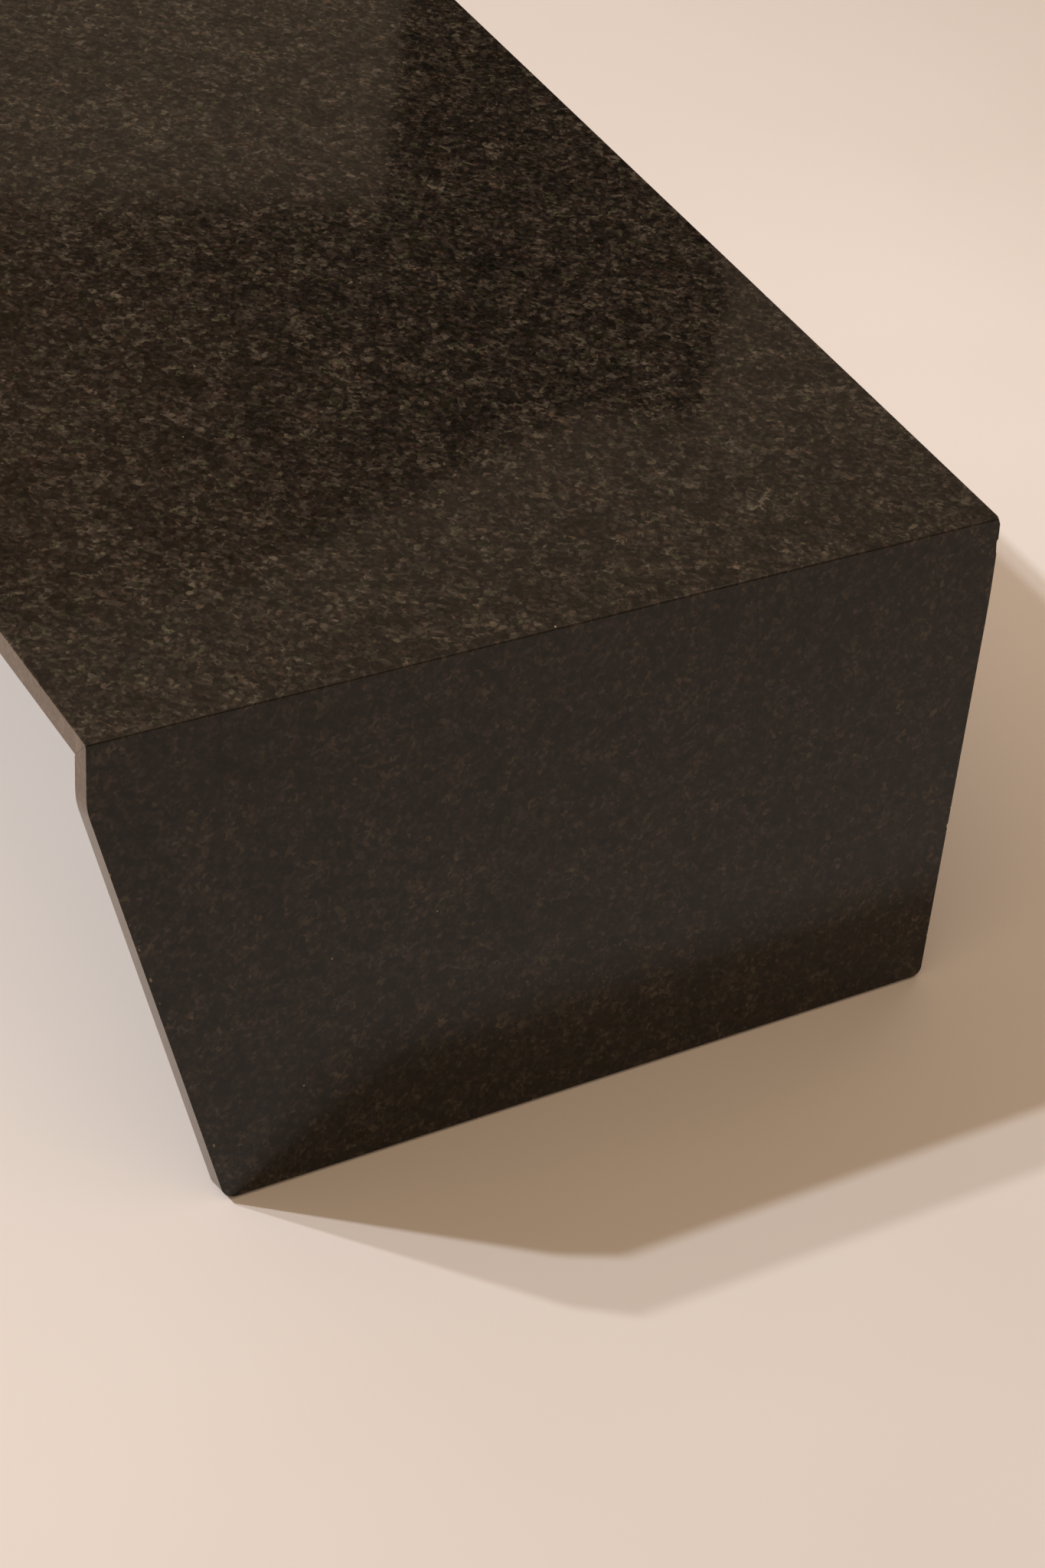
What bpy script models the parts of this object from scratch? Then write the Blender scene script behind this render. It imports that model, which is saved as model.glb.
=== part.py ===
"""A low table of thin polished granite: one top slab carried by two splayed end panels.

Each end panel meets the top in a mitre that is glued, backed by two steel angle brackets, and
stands on two pads. Three steel bars are bonded into grooves under the top. The two ends are the
same pieces, the far end turned half a turn about the upright axis.

Frame: metres, +Z up, +X across the table, +Y along it. The origin is on the floor under the
middle of the top. The "near" end is at -Y.
"""
from math import atan2, cos, pi, sin, tan

import bmesh
import bpy
from mathutils import Matrix, Vector

# ---------------------------------------------------------------- overall sizes
TOP_LENGTH = 1.200          # along Y, over the two mitred edges
TOP_WIDTH = 0.800           # along X
HEIGHT = 0.400              # floor to the top surface
FOOT_SPLAY = 0.095          # how far each foot stands out beyond the top's edge

# ---------------------------------------------------------------- stone
TOP_THICKNESS = 0.019
PANEL_THICKNESS = 0.0165
BROAD_TAPER = 0.112         # how far the foot is set in on the strongly tapered side
SLIGHT_TAPER = 0.030        # and on the other side
EAR = 0.050                 # length of each side edge, down the panel, before its taper starts
BROAD_BEND_RADIUS = 0.060   # easing of the bend between the straight ear and the taper
SLIGHT_BEND_RADIUS = 1.100
BROAD_FOOT_RADIUS = 0.014   # rounding of the foot's corners
SLIGHT_FOOT_RADIUS = 0.008
EASED_EDGE = 0.0018         # the small round along every exposed edge
MITRE_ROUND = 0.0022        # the round along the outer corner of each mitre

# ---------------------------------------------------------------- joints and clearances
CLEARANCE = 0.0003          # between neighbours that touch
GLUE_THICKNESS = 0.0005     # of the glue line in each mitre
GLUE_SET_BACK = 0.0005      # how far the glue line stops short of the stone's surface

# ---------------------------------------------------------------- brackets, screws and inserts
BRACKET_WIDTH = 0.060
BRACKET_LEG = 0.050
BRACKET_THICKNESS = 0.004
BRACKET_INNER_RADIUS = 0.004
BRACKET_SPACING = 0.440     # between the middles of the two brackets of one joint
SCREW_SPACING = 0.034       # between the two screws of one leg
SCREW_FROM_CORNER = 0.032   # from the corner of the stone to the screws' axes
SCREW_RADIUS = 0.0029
SCREW_HEAD_RADIUS = 0.0055
SCREW_HEAD_HEIGHT = 0.0032
SCREW_SOCKET_RADIUS = 0.0022
SCREW_SOCKET_DEPTH = 0.0018
SCREW_GRIP = 0.008          # length of shank inside the insert
SCREW_CHAMFER = 0.0006      # at the shank's end
SCREW_HEAD_CHAMFER = 0.0012
SCREW_HOLE_RADIUS = 0.0033
INSERT_LENGTH = 0.0095
INSERT_RADIUS = 0.0047
INSERT_WALL = 0.0014

# ---------------------------------------------------------------- bars under the top
BAR_WIDTH = 0.003
BAR_DEPTH = 0.008
BAR_FROM_EDGE = 0.130       # from each mitred edge of the top to the ends of the bars
BAR_SPACING = 0.250
RESIN_DEPTH = 0.0016        # of the resin that closes each groove over its bar

# ---------------------------------------------------------------- pads
PAD_LENGTH = 0.060
PAD_WIDTH = 0.012
PAD_HEIGHT = 0.002
PAD_FROM_CORNER = 0.030     # from the foot's corner to the near end of the pad

# ---------------------------------------------------------------- how finely shapes are drawn
CURVE_STEPS = 8             # in each arc of an outline
ROUND_STEPS = 16            # around a turned piece
CUT_PAST = 0.004            # how far a cutter reaches past the faces that it cuts

# ---------------------------------------------------------------- worked out from the sizes
SPLAY = atan2(FOOT_SPLAY, HEIGHT)
EDGE_Y = -TOP_LENGTH / 2
FOOT_Z = PAD_HEIGHT + CLEARANCE
FLOOR_DOWN = HEIGHT / cos(SPLAY)                # down the panel's face, from the top to the floor
FOOT_DOWN = (HEIGHT - FOOT_Z) / cos(SPLAY)      # and to the foot
OUTER_CORNER = Vector((0.0, EDGE_Y, HEIGHT))
DOWN_PANEL = Vector((0.0, -sin(SPLAY), -cos(SPLAY)))
INTO_PANEL = Vector((0.0, cos(SPLAY), -sin(SPLAY)))
ALONG_TOP = Vector((0.0, 1.0, 0.0))
UP = Vector((0.0, 0.0, 1.0))
ACROSS = Vector((1.0, 0.0, 0.0))
CORNER_REACH = (PANEL_THICKNESS - TOP_THICKNESS * sin(SPLAY)) / cos(SPLAY)
INNER_CORNER = OUTER_CORNER + ALONG_TOP * CORNER_REACH - UP * TOP_THICKNESS
MITRE_LINE = (INNER_CORNER - OUTER_CORNER).normalized()
TOWARDS_TOP = Vector((0.0, -MITRE_LINE.z, MITRE_LINE.y))
MITRE_SET_BACK = GLUE_THICKNESS / 2 + CLEARANCE
CORNER_ANGLE = pi / 2 + SPLAY                   # inside the stone, between the top and the panel
BRACKET_FACE = 2 * CLEARANCE + BRACKET_THICKNESS    # from the stone to where a screw's head sits


def empty_scene():
    """Removes what the file holds, so that the model starts from nothing."""
    for obj in list(bpy.data.objects):
        bpy.data.objects.remove(obj, do_unlink=True)


def finish_material(name, colour, roughness, metallic):
    """A Principled material with one colour, roughness and metallic value."""
    material = bpy.data.materials.new(name)
    material.use_nodes = True
    shader = material.node_tree.nodes["Principled BSDF"]
    shader.inputs["Base Color"].default_value = (*colour, 1.0)
    shader.inputs["Roughness"].default_value = roughness
    shader.inputs["Metallic"].default_value = metallic
    return material


# ---------------------------------------------------------------- meshes
def mesh_of(bm, name, smooth_angle=None):
    """Turns a bmesh into a mesh whose faces point outwards."""
    bmesh.ops.recalc_face_normals(bm, faces=bm.faces)
    mesh = bpy.data.meshes.new(name)
    bm.to_mesh(mesh)
    bm.free()
    if smooth_angle:
        mesh.shade_smooth()
        mesh.set_sharp_from_angle(angle=smooth_angle)
    return mesh


def place(name, mesh, material, end_turn):
    """Adds one object, turned about the upright axis to the end of the table it belongs to."""
    if not mesh.materials:
        mesh.materials.append(material)
    obj = bpy.data.objects.new(name, mesh)
    obj.rotation_euler.z = end_turn
    bpy.context.scene.collection.objects.link(obj)
    return obj


def prism(outline, thickness_vector):
    """A solid between a flat outline and its copy moved along a vector."""
    bm = bmesh.new()
    base = bm.faces.new([bm.verts.new(point) for point in outline])
    made = bmesh.ops.extrude_face_region(bm, geom=[base])
    moved = [item for item in made["geom"] if isinstance(item, bmesh.types.BMVert)]
    bmesh.ops.translate(bm, verts=moved, vec=thickness_vector)
    bmesh.ops.recalc_face_normals(bm, faces=bm.faces)
    return bm


def trim(bm, point, normal):
    """Cuts off what lies beyond a plane, on the side its normal points to, and closes the cut."""
    everything = bm.verts[:] + bm.edges[:] + bm.faces[:]
    cut = bmesh.ops.bisect_plane(
        bm, geom=everything, dist=1e-7, plane_co=point, plane_no=normal, clear_outer=True
    )
    rim = [item for item in cut["geom_cut"] if isinstance(item, bmesh.types.BMEdge)]
    if rim:
        bmesh.ops.holes_fill(bm, edges=rim, sides=0)


def rounded_outline(corners):
    """The points of a polygon given as (point, radius) corners, with an arc at each round one."""
    points = []
    for index, (corner, radius) in enumerate(corners):
        if radius == 0:
            points.append(corner)
            continue
        before = (corners[index - 1][0] - corner).normalized()
        after = (corners[(index + 1) % len(corners)][0] - corner).normalized()
        half_angle = before.angle(after) / 2
        centre = corner + (before + after).normalized() * (radius / sin(half_angle))
        start = (corner + before * (radius / tan(half_angle)) - centre).normalized()
        end = (corner + after * (radius / tan(half_angle)) - centre).normalized()
        for step in range(CURVE_STEPS + 1):
            points.append(centre + start.slerp(end, step / CURVE_STEPS) * radius)
    return points


def lathe(profile, axis_point, axis):
    """A solid turned from (radius, distance along the axis) points; its ends lie on the axis."""
    bm = bmesh.new()
    verts = [bm.verts.new((radius, 0.0, along)) for radius, along in profile]
    edges = [bm.edges.new(pair) for pair in zip(verts, verts[1:])]
    closed_ring = profile[0][0] > 0
    if closed_ring:
        edges.append(bm.edges.new((verts[-1], verts[0])))
    bmesh.ops.spin(
        bm, geom=verts + edges, cent=(0, 0, 0), axis=(0, 0, 1), angle=2 * pi,
        steps=ROUND_STEPS, use_duplicate=False,
    )
    bmesh.ops.remove_doubles(bm, verts=bm.verts, dist=1e-6)
    turn = UP.rotation_difference(axis).to_matrix().to_4x4()
    bmesh.ops.transform(bm, matrix=Matrix.Translation(axis_point) @ turn, verts=bm.verts)
    return bm


def ease_edges(bm, wanted, width):
    """Rounds the edges that the test picks out, with a two-step bevel."""
    bmesh.ops.bevel(
        bm, geom=[edge for edge in bm.edges if wanted(edge)], offset=width,
        segments=2, profile=0.5, affect="EDGES", clamp_overlap=True,
    )


def on_mitre(face):
    """True on a face that lies in one of the two mitre planes of an end."""
    return abs(face.normal.dot(TOWARDS_TOP)) > 0.9999


def is_exposed_edge(edge):
    """True on an edge between two faces that meet at a clear angle and that no mitre touches."""
    if len(edge.link_faces) != 2 or any(on_mitre(face) for face in edge.link_faces):
        return False
    return edge.calc_face_angle(0.0) > 0.7


def runs_along_table(edge):
    """True on an edge that runs along Y, such as the long edges of the top."""
    return abs((edge.verts[0].co - edge.verts[1].co).normalized().y) > 0.999


def round_mitre(bm):
    """Rounds the outer corner of the mitre with three flats that touch the round's circle."""
    out_of_panel = -INTO_PANEL
    inwards = -(UP + out_of_panel).normalized()
    centre = OUTER_CORNER + inwards * (MITRE_ROUND / sin(CORNER_ANGLE / 2))
    for share in (1 / 4, 1 / 2, 3 / 4):
        normal = UP.slerp(out_of_panel, share)
        trim(bm, centre + normal * MITRE_ROUND, normal)


def turned_to_far_end(bm):
    """Turns a bmesh half a turn, so that work on the near end also reaches the far end."""
    bmesh.ops.rotate(bm, verts=bm.verts, cent=(0, 0, 0), matrix=Matrix.Rotation(pi, 3, "Z"))


# ---------------------------------------------------------------- where the fasteners go
def bracket_places():
    return (-BRACKET_SPACING / 2, BRACKET_SPACING / 2)


def screw_places():
    """Each screw of one end: its label, its point on the stone's face, and the way out of it."""
    legs = {
        "top": (ALONG_TOP, -UP),
        "panel": (DOWN_PANEL, INTO_PANEL),
    }
    sides = {"left": -1, "right": 1}
    for bracket_side, middle in zip(sides, bracket_places()):
        for leg, (along, outwards) in legs.items():
            for screw_side, sign in sides.items():
                offset = ACROSS * (middle + sign * SCREW_SPACING / 2)
                point = INNER_CORNER + offset + along * SCREW_FROM_CORNER
                yield f"{bracket_side}_bracket_{leg}_{screw_side}", leg, point, outwards


def bore(name, point, outwards, radius, reach_in, reach_out):
    """A hidden cutter for a round hole, from reach_in below a face to reach_out above it."""
    profile = [(0.0, -reach_in), (radius, -reach_in), (radius, reach_out), (0.0, reach_out)]
    return cutter(name, lathe(profile, point, outwards))


def cutter(name, bm):
    """Adds a mesh as a guide that is only used to cut others."""
    obj = bpy.data.objects.new(name, mesh_of(bm, name))
    obj.hide_render = True
    obj.display_type = "WIRE"
    bpy.context.scene.collection.objects.link(obj)
    return obj


def cut_with(obj, cutters):
    """Takes each cutter away from an object."""
    for tool in cutters:
        modifier = obj.modifiers.new(tool.name, "BOOLEAN")
        modifier.operation = "DIFFERENCE"
        modifier.solver = "EXACT"
        modifier.object = tool


def insert_bores(leg_wanted, end, end_turn):
    """The cutters for the holes that take the inserts of one slab at one end."""
    depth = INSERT_LENGTH + 3 * CLEARANCE
    for label, leg, point, outwards in screw_places():
        if leg == leg_wanted:
            name = f"cut_{end}_{label}"
            tool = bore(name, point, outwards, INSERT_RADIUS + CLEARANCE, depth, CUT_PAST)
            tool.rotation_euler.z = end_turn
            yield tool


# ---------------------------------------------------------------- stone pieces
def top_mesh():
    """The top slab, mitred at both ends, its side edges eased."""
    near, far = -TOP_LENGTH / 2, TOP_LENGTH / 2
    side = [(near, HEIGHT - TOP_THICKNESS), (far, HEIGHT - TOP_THICKNESS), (far, HEIGHT), (near, HEIGHT)]
    outline = [Vector((-TOP_WIDTH / 2, y, z)) for y, z in side]
    bm = prism(outline, ACROSS * TOP_WIDTH)
    for _ in range(2):
        trim(bm, OUTER_CORNER + TOWARDS_TOP * MITRE_SET_BACK, -TOWARDS_TOP)
        turned_to_far_end(bm)
    ease_edges(bm, runs_along_table, EASED_EDGE)
    for _ in range(2):
        round_mitre(bm)
        turned_to_far_end(bm)
    return mesh_of(bm, "top_slab")


def panel_point(across, down):
    """A point on the panel's outer face."""
    return OUTER_CORNER + ACROSS * across + DOWN_PANEL * down


def foot_inset(taper):
    """How far the foot's end is set in from the top's side, just above the floor."""
    return taper * (FOOT_DOWN - EAR) / (FLOOR_DOWN - EAR)


def bend_radius(radius, taper):
    """The radius of a bend, no larger than its ear has room for."""
    bend = atan2(taper, FLOOR_DOWN - EAR)
    return min(radius, EAR * 0.95 / tan(bend / 2))


def panel_mesh():
    """An end panel: straight ears under the top, then two unequal tapers down to the foot."""
    half = TOP_WIDTH / 2
    corners = [
        (panel_point(-half, 0.0), 0),
        (panel_point(-half, EAR), bend_radius(BROAD_BEND_RADIUS, BROAD_TAPER)),
        (panel_point(-half + foot_inset(BROAD_TAPER), FOOT_DOWN), BROAD_FOOT_RADIUS),
        (panel_point(half - foot_inset(SLIGHT_TAPER), FOOT_DOWN), SLIGHT_FOOT_RADIUS),
        (panel_point(half, EAR), bend_radius(SLIGHT_BEND_RADIUS, SLIGHT_TAPER)),
        (panel_point(half, 0.0), 0),
    ]
    bm = prism(rounded_outline(corners), INTO_PANEL * PANEL_THICKNESS)
    trim(bm, Vector((0.0, 0.0, FOOT_Z)), -UP)
    trim(bm, OUTER_CORNER - TOWARDS_TOP * MITRE_SET_BACK, TOWARDS_TOP)
    ease_edges(bm, is_exposed_edge, EASED_EDGE)
    round_mitre(bm)
    return mesh_of(bm, "end_panel")


def glue_mesh():
    """The glue line of one mitre: a thin sheet that stops just short of the stone's faces."""
    low, high = -GLUE_THICKNESS / 2, GLUE_THICKNESS / 2
    start = MITRE_ROUND * (1 / sin(CORNER_ANGLE / 2) - 1) + GLUE_SET_BACK
    end = (INNER_CORNER - OUTER_CORNER).length - GLUE_SET_BACK
    section = [(start, low), (end, low), (end, high), (start, high)]
    half = TOP_WIDTH / 2 - EASED_EDGE
    outline = [
        OUTER_CORNER - ACROSS * half + MITRE_LINE * along + TOWARDS_TOP * offset
        for along, offset in section
    ]
    return mesh_of(prism(outline, ACROSS * 2 * half), "mitre_glue")


# ---------------------------------------------------------------- metal pieces
def bracket_mesh():
    """An angle bracket bent to the corner's own angle, centred across the origin."""
    bisector = (ALONG_TOP + DOWN_PANEL).normalized()
    outer = INNER_CORNER + bisector * (CLEARANCE / sin(CORNER_ANGLE / 2))
    inner = outer + bisector * (BRACKET_THICKNESS / sin(CORNER_ANGLE / 2))
    outer_radius = BRACKET_INNER_RADIUS + BRACKET_THICKNESS
    top_end = outer + ALONG_TOP * BRACKET_LEG
    panel_end = outer + DOWN_PANEL * BRACKET_LEG
    corners = [
        (top_end, 0),
        (outer, outer_radius),
        (panel_end, 0),
        (panel_end + INTO_PANEL * BRACKET_THICKNESS, 0),
        (inner, BRACKET_INNER_RADIUS),
        (top_end - UP * BRACKET_THICKNESS, 0),
    ]
    outline = [point - ACROSS * BRACKET_WIDTH / 2 for point in rounded_outline(corners)]
    return mesh_of(prism(outline, ACROSS * BRACKET_WIDTH), "angle_bracket")


def screw_mesh(point, outwards):
    """A pan-head screw with a drive socket, its head resting on the bracket."""
    crown = BRACKET_FACE + SCREW_HEAD_HEIGHT
    profile = [
        (0.0, -SCREW_GRIP),
        (SCREW_RADIUS - SCREW_CHAMFER, -SCREW_GRIP),
        (SCREW_RADIUS, -SCREW_GRIP + SCREW_CHAMFER),
        (SCREW_RADIUS, BRACKET_FACE),
        (SCREW_HEAD_RADIUS, BRACKET_FACE),
        (SCREW_HEAD_RADIUS, crown - SCREW_HEAD_CHAMFER),
        (SCREW_HEAD_RADIUS - SCREW_HEAD_CHAMFER, crown),
        (SCREW_SOCKET_RADIUS, crown),
        (SCREW_SOCKET_RADIUS, crown - SCREW_SOCKET_DEPTH),
        (0.0, crown - SCREW_SOCKET_DEPTH),
    ]
    return mesh_of(lathe(profile, point, outwards), "screw", smooth_angle=0.6)


def insert_mesh(point, outwards):
    """A plain threaded sleeve bonded into the stone, open at both ends."""
    inner = INSERT_RADIUS - INSERT_WALL
    deep, mouth = -CLEARANCE - INSERT_LENGTH, -CLEARANCE
    profile = [(inner, deep), (INSERT_RADIUS, deep), (INSERT_RADIUS, mouth), (inner, mouth)]
    return mesh_of(lathe(profile, point, outwards), "insert", smooth_angle=0.6)


def box(low, high):
    """A plain block between two corners."""
    bottom = [
        Vector((low[0], low[1], low[2])), Vector((high[0], low[1], low[2])),
        Vector((high[0], high[1], low[2])), Vector((low[0], high[1], low[2])),
    ]
    return prism(bottom, UP * (high[2] - low[2]))


def bar_places():
    return {"left": -BAR_SPACING, "middle": 0.0, "right": BAR_SPACING}


def groove_layers():
    """The heights at which a groove's roof, its bar and its resin begin and end."""
    underside = HEIGHT - TOP_THICKNESS
    resin_top = underside + RESIN_DEPTH
    bar_low = resin_top + CLEARANCE
    bar_high = bar_low + BAR_DEPTH
    return underside, resin_top, bar_low, bar_high, bar_high + CLEARANCE


# ---------------------------------------------------------------- assembly
def build_top(stone, steel, resin):
    top = place("top_slab", top_mesh(), stone, 0.0)
    underside, resin_top, bar_low, bar_high, roof = groove_layers()
    half_groove = BAR_WIDTH / 2 + CLEARANCE
    half_bar = TOP_LENGTH / 2 - BAR_FROM_EDGE
    cutters = []
    for side, x in bar_places().items():
        groove_low = (x - half_groove, -half_bar - CLEARANCE, underside - CUT_PAST)
        groove_high = (x + half_groove, half_bar + CLEARANCE, roof)
        cutters.append(cutter(f"cut_{side}_groove", box(groove_low, groove_high)))
        bar_box = (x - BAR_WIDTH / 2, -half_bar, bar_low), (x + BAR_WIDTH / 2, half_bar, bar_high)
        place(f"{side}_reinforcing_bar", mesh_of(box(*bar_box), "bar"), steel, 0.0)
        fill = (x - BAR_WIDTH / 2, -half_bar, underside), (x + BAR_WIDTH / 2, half_bar, resin_top)
        place(f"{side}_groove_resin", mesh_of(box(*fill), "resin"), resin, 0.0)
    for end, end_turn in (("near", 0.0), ("far", pi)):
        cutters.extend(insert_bores("top", end, end_turn))
    cut_with(top, cutters)


def build_end(end, end_turn, stone, steel, zinc, brass, resin, rubber):
    panel = place(f"{end}_end_panel", panel_mesh(), stone, end_turn)
    cut_with(panel, list(insert_bores("panel", end, end_turn)))
    place(f"{end}_mitre_glue", glue_mesh(), resin, end_turn)

    for side, middle in zip(("left", "right"), bracket_places()):
        mesh = bracket_mesh()
        mesh.transform(Matrix.Translation(ACROSS * middle))
        bracket = place(f"{end}_{side}_bracket", mesh, steel, end_turn)
        holes = []
        for label, _, point, outwards in screw_places():
            if label.startswith(side):
                name = f"cut_{end}_{label}_hole"
                reach_out = BRACKET_FACE + CUT_PAST
                hole = bore(name, point, outwards, SCREW_HOLE_RADIUS, CUT_PAST, reach_out)
                hole.rotation_euler.z = end_turn
                holes.append(hole)
        cut_with(bracket, holes)

    for label, _, point, outwards in screw_places():
        place(f"{end}_{label}_screw", screw_mesh(point, outwards), zinc, end_turn)
        place(f"{end}_{label}_insert", insert_mesh(point, outwards), brass, end_turn)

    pad_y = panel_point(0.0, FOOT_DOWN).y + PANEL_THICKNESS / cos(SPLAY) / 2
    broad_foot = -TOP_WIDTH / 2 + foot_inset(BROAD_TAPER) + PAD_FROM_CORNER
    slight_foot = TOP_WIDTH / 2 - foot_inset(SLIGHT_TAPER) - PAD_FROM_CORNER - PAD_LENGTH
    for side, x in (("left", broad_foot), ("right", slight_foot)):
        low = (x, pad_y - PAD_WIDTH / 2, 0.0)
        high = (x + PAD_LENGTH, pad_y + PAD_WIDTH / 2, PAD_HEIGHT)
        place(f"{end}_{side}_foot_pad", mesh_of(box(low, high), "foot_pad"), rubber, end_turn)


def build():
    empty_scene()
    stone = finish_material("polished_granite", (0.022, 0.020, 0.017), 0.12, 0.0)
    steel = finish_material("stainless_steel", (0.55, 0.54, 0.52), 0.35, 1.0)
    zinc = finish_material("zinc_plated_steel", (0.62, 0.62, 0.60), 0.30, 1.0)
    brass = finish_material("brass", (0.70, 0.52, 0.22), 0.30, 1.0)
    resin = finish_material("black_epoxy", (0.020, 0.018, 0.016), 0.35, 0.0)
    rubber = finish_material("black_rubber", (0.030, 0.030, 0.030), 0.80, 0.0)
    build_top(stone, steel, resin)
    for end, end_turn in (("near", 0.0), ("far", pi)):
        build_end(end, end_turn, stone, steel, zinc, brass, resin, rubber)


build()
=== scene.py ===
# %% [markdown]
# # A low table of thin polished granite
#
# The real object is a slab of dark granite on two granite end panels. Each panel leans outwards,
# meets the slab in a glued mitre, and stands on two thin rubber pads. The stone shows three
# finishes: its outer faces are polished like glass, its edges are only honed, and its hidden faces
# are left as the saw made them. Out of sight, steel brackets hold the corners and three steel
# bars, bonded into grooves, keep the thin slab from cracking.
#
# The engineering model is loaded first and never moved. This script builds the fine surface
# around it, one piece at a time, and every piece is closed, so that it could be made for real.

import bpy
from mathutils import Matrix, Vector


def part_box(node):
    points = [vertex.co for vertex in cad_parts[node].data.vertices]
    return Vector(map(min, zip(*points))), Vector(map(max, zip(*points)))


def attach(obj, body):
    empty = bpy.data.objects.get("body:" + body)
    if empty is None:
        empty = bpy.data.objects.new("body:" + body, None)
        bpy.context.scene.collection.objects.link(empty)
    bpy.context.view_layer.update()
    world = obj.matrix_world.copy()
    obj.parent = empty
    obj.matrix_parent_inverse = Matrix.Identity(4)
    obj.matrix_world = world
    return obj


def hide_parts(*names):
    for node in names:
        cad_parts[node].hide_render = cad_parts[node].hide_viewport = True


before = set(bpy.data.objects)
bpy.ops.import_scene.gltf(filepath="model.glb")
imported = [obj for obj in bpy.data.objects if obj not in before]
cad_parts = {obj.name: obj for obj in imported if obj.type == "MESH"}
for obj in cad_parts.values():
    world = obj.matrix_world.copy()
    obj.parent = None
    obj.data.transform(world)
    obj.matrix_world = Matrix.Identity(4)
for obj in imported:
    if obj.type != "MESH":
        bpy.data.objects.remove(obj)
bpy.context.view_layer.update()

# %% Modules
import random
from math import atan2, cos, pi, radians, sin, tan

import bmesh
import bpy
from mathutils import Matrix, Vector, noise

# %% [markdown]
# ## Sizes
#
# A few driving sizes describe the whole table. They are the engineering model's own, except that
# the glue line is thinner, as it shows on a real corner. A cell further down measures the finished
# stone against that model. All lengths are metres, and MM makes small ones easier to read.

# %% Driving sizes
MM = 0.001
LENGTH = 1.200             # over the two mitred edges
FOOT_SPLAY = 0.095         # how far each foot stands out beyond the edge of the top
PANEL_THICKNESS = 16.5 * MM
BROAD_TAPER = 0.112        # how far the foot is set in, on the strongly tapered side
SLIGHT_TAPER = 0.030       # and on the other side
EAR = 0.050                # straight length of a side, under the top, before it tapers
BROAD_BEND = 0.060         # radius of the bend between ear and taper
SLIGHT_BEND = 1.100
BROAD_FOOT = 14 * MM       # radius of the corners at the foot
SLIGHT_FOOT = 8 * MM
ARRIS = 1.8 * MM           # the small round along each edge of the stone
MITRE_ARRIS = 2.2 * MM     # the round along the outer corner of each mitre
SEAM = 0.2 * MM            # the glue line that shows in the mitre
FIT = 0.3 * MM             # clearance between neighbours

slab_low, slab_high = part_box("top_slab")
WIDTH = slab_high.x - slab_low.x
HEIGHT = slab_high.z
SLAB_THICKNESS = slab_high.z - slab_low.z
FOOT_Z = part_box("near_left_foot_pad")[1].z + FIT
print(f"slab {WIDTH:.3f} wide, {SLAB_THICKNESS / MM:.1f} mm thick, top at {HEIGHT:.3f}")

# %% Directions and corners of the near end
ACROSS, ALONG, UP = Vector((1, 0, 0)), Vector((0, 1, 0)), Vector((0, 0, 1))
SPLAY = atan2(FOOT_SPLAY, HEIGHT)
DOWN_PANEL = Vector((0, -sin(SPLAY), -cos(SPLAY)))
OUT_OF_PANEL = Vector((0, -cos(SPLAY), sin(SPLAY)))
OUTER_CORNER = Vector((0, -LENGTH / 2, HEIGHT))
CORNER_REACH = (PANEL_THICKNESS - SLAB_THICKNESS * sin(SPLAY)) / cos(SPLAY)
INNER_CORNER = OUTER_CORNER + ALONG * CORNER_REACH - UP * SLAB_THICKNESS
MITRE_LINE = (INNER_CORNER - OUTER_CORNER).normalized()
TOWARDS_TOP = Vector((0, -MITRE_LINE.z, MITRE_LINE.y))
CORNER_ANGLE = pi / 2 + SPLAY
FLOOR_DOWN = HEIGHT / cos(SPLAY)
FOOT_DOWN = (HEIGHT - FOOT_Z) / cos(SPLAY)
FAR_TURN = Matrix.Rotation(pi, 4, "Z")
ENDS = {"near": Matrix.Identity(4), "far": FAR_TURN}
print(f"the panels lean {SPLAY * 180 / pi:.2f} degrees out of upright")

# %% [markdown]
# ## Helpers
#
# Colours are written as sRGB hex values, as a paint chart gives them, and one function turns them
# into the linear values that the renderer works in. A second fills a node's sockets with values or
# links, and a third adds a node and does both, so a whole material reads as a short recipe.

# %% Colour and node helpers
def linear(hex_colour):
    """The linear colour of an sRGB hex value."""
    channels = [int(hex_colour[i:i + 2], 16) / 255 for i in (1, 3, 5)]
    return tuple(c / 12.92 if c <= 0.04045 else ((c + 0.055) / 1.055) ** 2.4 for c in channels) + (1,)


def fill(tree, node, sockets):
    """Links each socket to another node's output, or gives it a plain value."""
    for key, value in sockets.items():
        if isinstance(value, bpy.types.NodeSocket):
            tree.links.new(value, node.inputs[key])
        else:
            node.inputs[key].default_value = value


def add(tree, kind, sockets=None, stops=None, **settings):
    """Adds one node, sets its properties, and fills or links its sockets. Stops fill a ramp."""
    node = tree.nodes.new(kind)
    for name, value in settings.items():
        setattr(node, name, value)
    fill(tree, node, sockets or {})
    for index, (place, colour) in enumerate(stops or ()):
        ramp = node.color_ramp.elements
        stop = ramp[index] if index < 2 else ramp.new(place)
        stop.position, stop.color = place, linear(colour)
    return node


def start_material(name):
    """An empty material: its node tree and its Principled shader."""
    material = bpy.data.materials.new(name)
    material.use_nodes = True
    return material, material.node_tree, material.node_tree.nodes["Principled BSDF"]


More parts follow.
